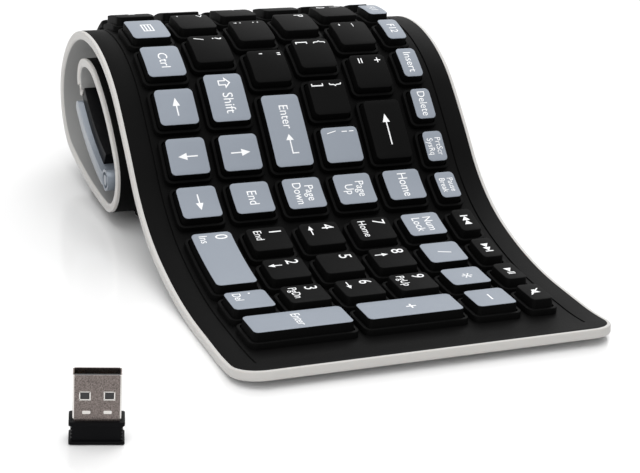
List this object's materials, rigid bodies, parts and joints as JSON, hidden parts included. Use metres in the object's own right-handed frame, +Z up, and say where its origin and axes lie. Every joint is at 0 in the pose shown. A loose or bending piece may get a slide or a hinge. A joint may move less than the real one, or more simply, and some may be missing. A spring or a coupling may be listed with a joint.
{
  "type": "roll-up keyboard",
  "caption": "Soft roll-up silicone keyboard lying half rolled, with raised keys that press, a curved battery module at its rolled end, and a plug-in receiver beside it.",
  "frame": {"origin": "middle of the flat underside that the open end of the board lies on", "axes": "+X across the board towards its function-key edge, +Y along the board from the number-pad end to the roll, +Z up"},
  "size_m": [0.1695, 0.2101, 0.0607],
  "materials": {
    "black_silicone": "matt moulded silicone with a soft sheen",
    "light_silicone": "matt light grey silicone",
    "grey_key_silicone": "satin grey coating on moulded silicone",
    "printed_film": "clear polyester with printed tracks",
    "spacer_film": "plain polyester",
    "cover_plastic": "satin painted grey-blue plastic",
    "black_plastic": "fine matt moulded plastic",
    "cell_wrap": "printed wrap of a dry cell",
    "contact_spring": "nickel-plated strip",
    "board_laminate": "green coated laminate",
    "receiver_plastic": "fine matt moulded plastic",
    "plug_steel": "plain folded sheet steel",
    "tongue_plastic": "moulded plastic",
    "contact_gold": "gold-plated strips"
  },
  "bodies": {
    "sheet": {"silicone_mat": "black_silicone", "back_sheet": "light_silicone", "circuit_film_top": "printed_film", "spacer_film": "spacer_film", "circuit_film_bottom": "printed_film", "grey_caps": "grey_key_silicone"},
    "key_num_enter": {"key_num_enter": "grey_key_silicone"},
    "key_num_plus": {"key_num_plus": "grey_key_silicone"},
    "key_num_minus": {"key_num_minus": "grey_key_silicone"},
    "key_media_mute": {"key_media_mute": "black_silicone"},
    "key_num_point": {"key_num_point": "grey_key_silicone"},
    "key_num_3": {"key_num_3": "black_silicone"},
    "key_num_6": {"key_num_6": "black_silicone"},
    "key_num_9": {"key_num_9": "black_silicone"},
    "key_num_times": {"key_num_times": "grey_key_silicone"},
    "key_media_play": {"key_media_play": "black_silicone"},
    "key_num_0": {"key_num_0": "grey_key_silicone"},
    "key_num_2": {"key_num_2": "black_silicone"},
    "key_num_5": {"key_num_5": "black_silicone"},
    "key_num_8": {"key_num_8": "black_silicone"},
    "key_num_divide": {"key_num_divide": "grey_key_silicone"},
    "key_media_next": {"key_media_next": "black_silicone"},
    "key_num_1": {"key_num_1": "black_silicone"},
    "key_num_4": {"key_num_4": "black_silicone"},
    "key_num_7": {"key_num_7": "black_silicone"},
    "key_num_lock": {"key_num_lock": "grey_key_silicone"},
    "key_media_back": {"key_media_back": "black_silicone"},
    "key_arrow_right": {"key_arrow_right": "grey_key_silicone"},
    "key_end": {"key_end": "grey_key_silicone"},
    "key_page_down": {"key_page_down": "grey_key_silicone"},
    "key_page_up": {"key_page_up": "grey_key_silicone"},
    "key_home": {"key_home": "grey_key_silicone"},
    "key_pause": {"key_pause": "grey_key_silicone"},
    "key_print_screen": {"key_print_screen": "grey_key_silicone"},
    "key_delete": {"key_delete": "grey_key_silicone"},
    "key_insert": {"key_insert": "grey_key_silicone"},
    "key_arrow_down": {"key_arrow_down": "grey_key_silicone"},
    "key_arrow_left": {"key_arrow_left": "grey_key_silicone"},
    "key_right_ctrl": {"key_right_ctrl": "grey_key_silicone"},
    "key_arrow_up": {"key_arrow_up": "grey_key_silicone"},
    "key_right_shift": {"key_right_shift": "grey_key_silicone"},
    "key_enter": {"key_enter": "grey_key_silicone"},
    "key_backslash": {"key_backslash": "grey_key_silicone"},
    "key_backspace": {"key_backspace": "black_silicone"},
    "module": {"cover_plate": "cover_plastic", "housing": "black_plastic", "batteries": "cell_wrap", "battery_contacts": "contact_spring", "circuit_board": "board_laminate"},
    "battery_door": {"battery_door": "black_plastic"},
    "power_switch": {"power_switch": "black_plastic"},
    "receiver": {"receiver_grip": "receiver_plastic", "plug_shell": "plug_steel", "plug_tongue": "tongue_plastic", "plug_contacts": "contact_gold"}
  },
  "joints": [
    {"name": "press_num_enter", "type": "slide", "parent": "sheet", "child": "key_num_enter", "axis": [0, 0, -1], "range_m": [0, 0.0016], "stiffness_N_per_m": 400},
    {"name": "press_num_plus", "type": "slide", "parent": "sheet", "child": "key_num_plus", "axis": [0, 0, -1], "range_m": [0, 0.0016], "stiffness_N_per_m": 400},
    {"name": "press_num_minus", "type": "slide", "parent": "sheet", "child": "key_num_minus", "axis": [0, 0, -1], "range_m": [0, 0.0016], "stiffness_N_per_m": 400},
    {"name": "press_media_mute", "type": "slide", "parent": "sheet", "child": "key_media_mute", "axis": [0, 0, -1], "range_m": [0, 0.0016], "stiffness_N_per_m": 400},
    {"name": "press_num_point", "type": "slide", "parent": "sheet", "child": "key_num_point", "axis": [0, 0.0362, -0.9993], "range_m": [0, 0.0016], "stiffness_N_per_m": 400},
    {"name": "press_num_3", "type": "slide", "parent": "sheet", "child": "key_num_3", "axis": [0, 0.0362, -0.9993], "range_m": [0, 0.0016], "stiffness_N_per_m": 400},
    {"name": "press_num_6", "type": "slide", "parent": "sheet", "child": "key_num_6", "axis": [0, 0.0362, -0.9993], "range_m": [0, 0.0016], "stiffness_N_per_m": 400},
    {"name": "press_num_9", "type": "slide", "parent": "sheet", "child": "key_num_9", "axis": [0, 0.0362, -0.9993], "range_m": [0, 0.0016], "stiffness_N_per_m": 400},
    {"name": "press_num_times", "type": "slide", "parent": "sheet", "child": "key_num_times", "axis": [0, 0.0362, -0.9993], "range_m": [0, 0.0016], "stiffness_N_per_m": 400},
    {"name": "press_media_play", "type": "slide", "parent": "sheet", "child": "key_media_play", "axis": [0, 0.0362, -0.9993], "range_m": [0, 0.0016], "stiffness_N_per_m": 400},
    {"name": "press_num_0", "type": "slide", "parent": "sheet", "child": "key_num_0", "axis": [0, 0.2271, -0.9739], "range_m": [0, 0.0016], "stiffness_N_per_m": 400},
    {"name": "press_num_2", "type": "slide", "parent": "sheet", "child": "key_num_2", "axis": [0, 0.164, -0.9865], "range_m": [0, 0.0016], "stiffness_N_per_m": 400},
    {"name": "press_num_5", "type": "slide", "parent": "sheet", "child": "key_num_5", "axis": [0, 0.164, -0.9865], "range_m": [0, 0.0016], "stiffness_N_per_m": 400},
    {"name": "press_num_8", "type": "slide", "parent": "sheet", "child": "key_num_8", "axis": [0, 0.164, -0.9865], "range_m": [0, 0.0016], "stiffness_N_per_m": 400},
    {"name": "press_num_divide", "type": "slide", "parent": "sheet", "child": "key_num_divide", "axis": [0, 0.164, -0.9865], "range_m": [0, 0.0016], "stiffness_N_per_m": 400},
    {"name": "press_media_next", "type": "slide", "parent": "sheet", "child": "key_media_next", "axis": [0, 0.164, -0.9865], "range_m": [0, 0.0016], "stiffness_N_per_m": 400},
    {"name": "press_num_1", "type": "slide", "parent": "sheet", "child": "key_num_1", "axis": [0, 0.2892, -0.9573], "range_m": [0, 0.0016], "stiffness_N_per_m": 400},
    {"name": "press_num_4", "type": "slide", "parent": "sheet", "child": "key_num_4", "axis": [0, 0.2892, -0.9573], "range_m": [0, 0.0016], "stiffness_N_per_m": 400},
    {"name": "press_num_7", "type": "slide", "parent": "sheet", "child": "key_num_7", "axis": [0, 0.2892, -0.9573], "range_m": [0, 0.0016], "stiffness_N_per_m": 400},
    {"name": "press_num_lock", "type": "slide", "parent": "sheet", "child": "key_num_lock", "axis": [0, 0.2892, -0.9573], "range_m": [0, 0.0016], "stiffness_N_per_m": 400},
    {"name": "press_media_back", "type": "slide", "parent": "sheet", "child": "key_media_back", "axis": [0, 0.2892, -0.9573], "range_m": [0, 0.0016], "stiffness_N_per_m": 400},
    {"name": "press_arrow_right", "type": "slide", "parent": "sheet", "child": "key_arrow_right", "axis": [0, 0.5573, -0.8303], "range_m": [0, 0.0016], "stiffness_N_per_m": 400},
    {"name": "press_end", "type": "slide", "parent": "sheet", "child": "key_end", "axis": [0, 0.5573, -0.8303], "range_m": [0, 0.0016], "stiffness_N_per_m": 400},
    {"name": "press_page_down", "type": "slide", "parent": "sheet", "child": "key_page_down", "axis": [0, 0.5573, -0.8303], "range_m": [0, 0.0016], "stiffness_N_per_m": 400},
    {"name": "press_page_up", "type": "slide", "parent": "sheet", "child": "key_page_up", "axis": [0, 0.5573, -0.8303], "range_m": [0, 0.0016], "stiffness_N_per_m": 400},
    {"name": "press_home", "type": "slide", "parent": "sheet", "child": "key_home", "axis": [0, 0.5573, -0.8303], "range_m": [0, 0.0016], "stiffness_N_per_m": 400},
    {"name": "press_pause", "type": "slide", "parent": "sheet", "child": "key_pause", "axis": [0, 0.535, -0.8449], "range_m": [0, 0.0016], "stiffness_N_per_m": 400},
    {"name": "press_print_screen", "type": "slide", "parent": "sheet", "child": "key_print_screen", "axis": [0, 0.724, -0.6898], "range_m": [0, 0.0016], "stiffness_N_per_m": 400},
    {"name": "press_delete", "type": "slide", "parent": "sheet", "child": "key_delete", "axis": [0, 0.6858, -0.7278], "range_m": [0, 0.0016], "stiffness_N_per_m": 400},
    {"name": "press_insert", "type": "slide", "parent": "sheet", "child": "key_insert", "axis": [0, 0.5615, -0.8275], "range_m": [0, 0.0016], "stiffness_N_per_m": 400},
    {"name": "press_arrow_down", "type": "slide", "parent": "sheet", "child": "key_arrow_down", "axis": [0, 0.7166, -0.6975], "range_m": [0, 0.0016], "stiffness_N_per_m": 400},
    {"name": "press_arrow_left", "type": "slide", "parent": "sheet", "child": "key_arrow_left", "axis": [0, 0.6743, -0.7384], "range_m": [0, 0.0016], "stiffness_N_per_m": 400},
    {"name": "press_right_ctrl", "type": "slide", "parent": "sheet", "child": "key_right_ctrl", "axis": [0, 0.4607, -0.8875], "range_m": [0, 0.0016], "stiffness_N_per_m": 400},
    {"name": "press_arrow_up", "type": "slide", "parent": "sheet", "child": "key_arrow_up", "axis": [0, 0.7166, -0.6975], "range_m": [0, 0.0016], "stiffness_N_per_m": 400},
    {"name": "press_right_shift", "type": "slide", "parent": "sheet", "child": "key_right_shift", "axis": [0, 0.6689, -0.7434], "range_m": [0, 0.0016], "stiffness_N_per_m": 400},
    {"name": "press_enter", "type": "slide", "parent": "sheet", "child": "key_enter", "axis": [0, 0.701, -0.7131], "range_m": [0, 0.0016], "stiffness_N_per_m": 400},
    {"name": "press_backslash", "type": "slide", "parent": "sheet", "child": "key_backslash", "axis": [0, 0.7166, -0.6975], "range_m": [0, 0.0016], "stiffness_N_per_m": 400},
    {"name": "press_backspace", "type": "slide", "parent": "sheet", "child": "key_backspace", "axis": [0, 0.7063, -0.708], "range_m": [0, 0.0016], "stiffness_N_per_m": 400},
    {"name": "module_swing", "type": "hinge", "parent": "sheet", "child": "module", "pos_m": [0, 0.13223, 0.0338], "axis": [1, 0, 0], "range_deg": [-2, 5], "stiffness_Nm_per_rad": 5},
    {"name": "battery_door_lift", "type": "slide", "parent": "module", "child": "battery_door", "axis": [0, -0.454, 0.891], "range_m": [0, 0.0024]},
    {"name": "power_switch_slide", "type": "slide", "parent": "module", "child": "power_switch", "axis": [1, 0, 0], "range_m": [0, 0.0026]},
    {"name": "receiver_lift", "type": "slide", "parent": "sheet", "child": "receiver", "axis": [0, 0, 1], "range_m": [0, 0.06]}
  ]
}
